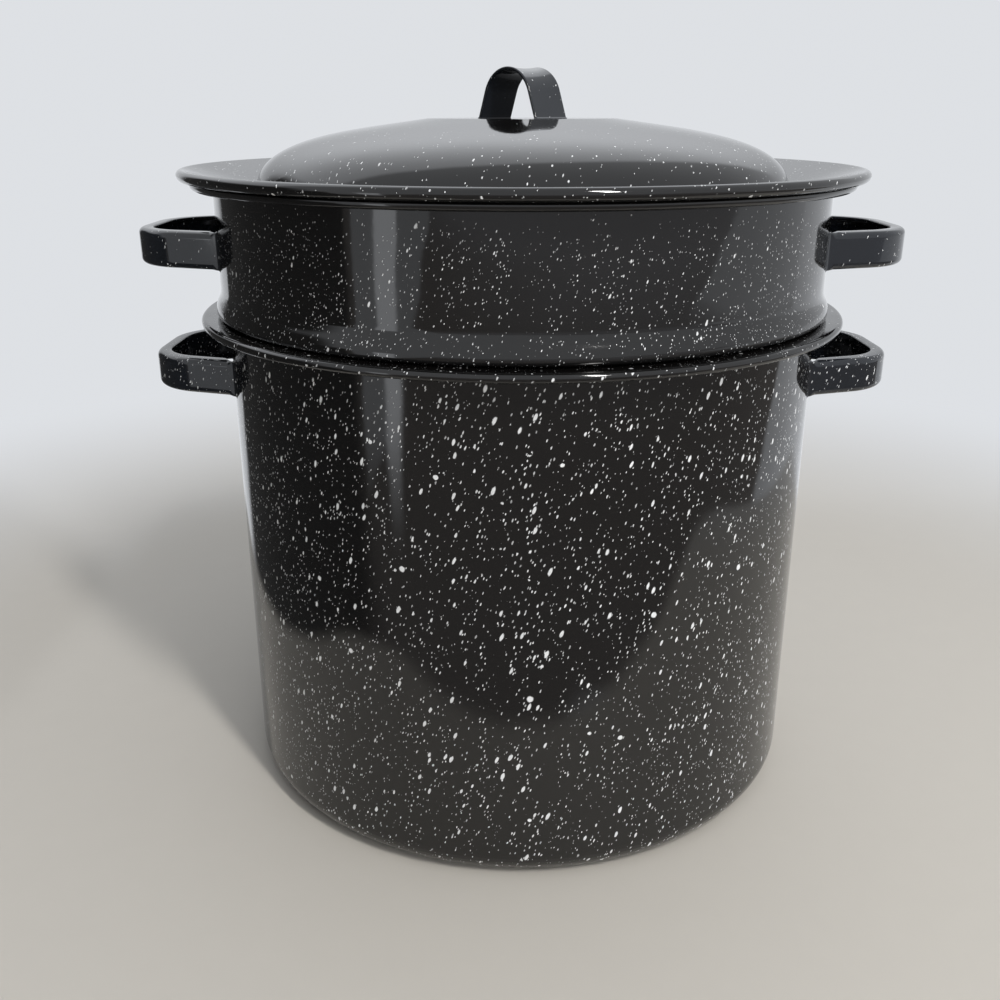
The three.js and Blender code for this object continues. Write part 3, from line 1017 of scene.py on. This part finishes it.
class BLANCHER_OT_stage(bpy.types.Operator):
    """Sets the pale floor, the cards, the lamps and the camera."""

    bl_idname = "blancher.stage"
    bl_label = "Stage"

    def execute(self, context):
        stage = context.scene.blancher_stage
        self.lay_floor(stage)
        self.lay_front_card(stage)
        self.hang_back_panel(stage)
        self.stand_dark_screen(stage)
        self.set_light(context, stage)
        self.set_camera(context)
        context.scene.view_settings.view_transform = "Standard"
        return {"FINISHED"}

    def lay_floor(self, stage):
        """The pale floor, which runs into the background away from the object."""
        material = bpy.data.materials.new("pale floor")
        material.use_nodes = True
        tree = material.node_tree
        shader = tree.nodes["Principled BSDF"]
        end = tree.nodes["Material Output"]
        spot = placed(tree, "ShaderNodeTexCoord").outputs["Object"]
        dim = tuple(FLOOR_DIM * c for c in stage.floor)
        grain = noise(tree, spot, FLOOR_GRAIN, 5.0)[0]
        tone = blended(tree, grain, (*dim, 1.0), (*stage.floor, 1.0))
        tree.links.new(tone, shader.inputs["Base Color"])
        shader.inputs["Roughness"].default_value = FLOOR_ROUGHNESS
        distance = placed(tree, "ShaderNodeVectorMath", {0: spot}, operation="LENGTH").outputs["Value"]
        away = ranged(tree, distance, *FLOOR_FADE, 0.0, 1.0, True)
        glow = placed(tree, "ShaderNodeEmission", {"Color": (*stage.backdrop, 1.0)})
        mixed = placed(
            tree, "ShaderNodeMixShader",
            {0: calculated(tree, "MULTIPLY", away, shows_background(tree)),
             1: shader.outputs[0], 2: glow.outputs[0]})
        tree.links.new(mixed.outputs[0], end.inputs["Surface"])
        sheet_of("floor", level_square(FLOOR_LEVEL), material)

    def lay_front_card(self, stage):
        """The card in front: dim past an edge with round corners, dark at the left, with bright strips."""
        material = bpy.data.materials.new("front card")
        tree = emptied(material)
        spot = placed(tree, "ShaderNodeTexCoord").outputs["Object"]
        part = placed(tree, "ShaderNodeSeparateXYZ", {0: spot}).outputs
        side = calculated(tree, "ABSOLUTE", calculated(tree, "SUBTRACT", part[0], CARD_MIDDLE))
        side = calculated(tree, "MAXIMUM", calculated(tree, "SUBTRACT", side, CARD_HALF))
        front = calculated(tree, "MAXIMUM", calculated(tree, "SUBTRACT", CARD_FRONT, part[1]))
        past = placed(tree, "ShaderNodeCombineXYZ", {0: side, 1: front}).outputs[0]
        past = placed(tree, "ShaderNodeVectorMath", {0: past}, operation="LENGTH").outputs["Value"]
        cover = calculated(
            tree, "MAXIMUM", ranged(tree, past, *CARD_ROUND, 0.0, 1.0, True),
            towards(tree, spot, *CARD_BEHIND))
        dim = blended(
            tree, towards(tree, spot, *CARD_FAR_END), (*stage.dim_card, 1.0), (*stage.far_card, 1.0))
        colour = blended(tree, towards(tree, spot, *CARD_DARK_END), (*stage.dark_card, 1.0), dim)
        for power, *edges in CARD_STRIPS:
            shown = 1.0
            for edge in edges:
                shown = calculated(tree, "MULTIPLY", towards(tree, spot, *edge), shown)
            colour = blended(tree, shown, colour, tuple(power * c for c in stage.panel) + (1.0,))
        gloss_card("front_card", level_square(CARD_LEVEL), material, cover, colour)

    def hang_back_panel(self, stage):
        """The soft panel high up behind, which the top of the lid shows."""
        material = bpy.data.materials.new("back panel")
        tree = emptied(material)
        way = way_from(tree, PANEL_FACES)
        cover = calculated(
            tree, "MULTIPLY", towards(tree, way, UPWARD, *PANEL_RISE),
            towards(tree, way, PANEL_AIM, *PANEL_SPREAD))
        corners = standing_square(PANEL_AIM, PANEL_DISTANCE, PANEL_HALF)
        gloss_card("back_panel", corners, material, cover, (*stage.panel, 1.0), PANEL_POWER)

    def stand_dark_screen(self, stage):
        """The low dark screen at the left, which the insert's shoulder shows."""
        material = bpy.data.materials.new("dark screen")
        tree = emptied(material)
        way = way_from(tree, SCREEN_FACES)
        low = calculated(tree, "SUBTRACT", 1.0, towards(tree, way, UPWARD, *SCREEN_RISE))
        cover = calculated(tree, "MULTIPLY", low, towards(tree, way, SCREEN_AIM, *SCREEN_SPREAD))
        corners = standing_square(SCREEN_AIM, SCREEN_DISTANCE, SCREEN_HALF)
        gloss_card("dark_screen", corners, material, cover, (*stage.dark_card, 1.0))

    def set_light(self, context, stage):
        """The soft light around the object, which is dim from the left, and the lamps."""
        world = bpy.data.worlds.new("soft light")
        world.use_nodes = True
        context.scene.world = world
        tree = world.node_tree
        tree.nodes.clear()
        way = placed(tree, "ShaderNodeTexCoord").outputs["Generated"]
        lit = towards(tree, way, LIGHT_AIM, *LIGHT_SPREAD)
        light = blended(tree, lit, (*stage.dark_card, 1.0), (*stage.panel, 1.0))
        colour = blended(tree, shows_background(tree), light, (*stage.backdrop, 1.0))
        glow = placed(tree, "ShaderNodeBackground", {"Color": colour, "Strength": 1.0})
        placed(tree, "ShaderNodeOutputWorld", {"Surface": glow.outputs[0]})
        lamp("top_lamp", *TOP_LAMP)
        fill = lamp("front_fill", *FRONT_FILL)
        fill.visible_glossy = False

    def set_camera(self, context):
        """The camera in front of the object, which looks down on it a little."""
        camera = bpy.data.cameras.new("camera")
        camera.sensor_fit = "HORIZONTAL"
        camera.sensor_width = CAMERA_SENSOR
        camera.lens = CAMERA_LENS
        camera.clip_start = CAMERA_NEAREST
        made = bpy.data.objects.new("camera", camera)
        made.location = CAMERA_PLACE
        made.rotation_euler = (math.radians(90 - CAMERA_DOWN), 0.0, 0.0)
        context.scene.collection.objects.link(made)
        context.scene.camera = made


class BLANCHER_PT_panel(bpy.types.Panel):
    """Lists the pieces and the sizes and colours that they take."""

    bl_idname = "BLANCHER_PT_panel"
    bl_label = "Blancher"
    bl_space_type = "VIEW_3D"
    bl_region_type = "UI"
    bl_category = "Blancher"

    def draw(self, context):
        for step in STEPS:
            self.layout.operator(step.bl_idname)
        for name in GROUPS:
            values = getattr(context.scene, name)
            for key in values.bl_rna.properties.keys():
                if key not in ("rna_type", "name"):
                    self.layout.prop(values, key)


STEPS = (
    BLANCHER_OT_pot, BLANCHER_OT_insert, BLANCHER_OT_lid, BLANCHER_OT_side_handles,
    BLANCHER_OT_lid_handle, BLANCHER_OT_stage)
GROUPS = {
    "blancher_bodies": BlancherBodies,
    "blancher_handles": BlancherHandles,
    "blancher_enamel": BlancherEnamel,
    "blancher_stage": BlancherStage,
}


def register():
    for name, group in GROUPS.items():
        bpy.utils.register_class(group)
        setattr(bpy.types.Scene, name, bpy.props.PointerProperty(type=group))
    for step in STEPS:
        bpy.utils.register_class(step)
    bpy.utils.register_class(BLANCHER_PT_panel)


def unregister():
    bpy.utils.unregister_class(BLANCHER_PT_panel)
    for step in reversed(STEPS):
        bpy.utils.unregister_class(step)
    for name, group in GROUPS.items():
        delattr(bpy.types.Scene, name)
        bpy.utils.unregister_class(group)


def main():
    """Builds the pieces and the stage."""
    register()
    bpy.ops.blancher.pot()
    bpy.ops.blancher.insert()
    bpy.ops.blancher.lid()
    bpy.ops.blancher.side_handles()
    bpy.ops.blancher.lid_handle()
    bpy.ops.blancher.stage()


if __name__ == "__main__":
    main()
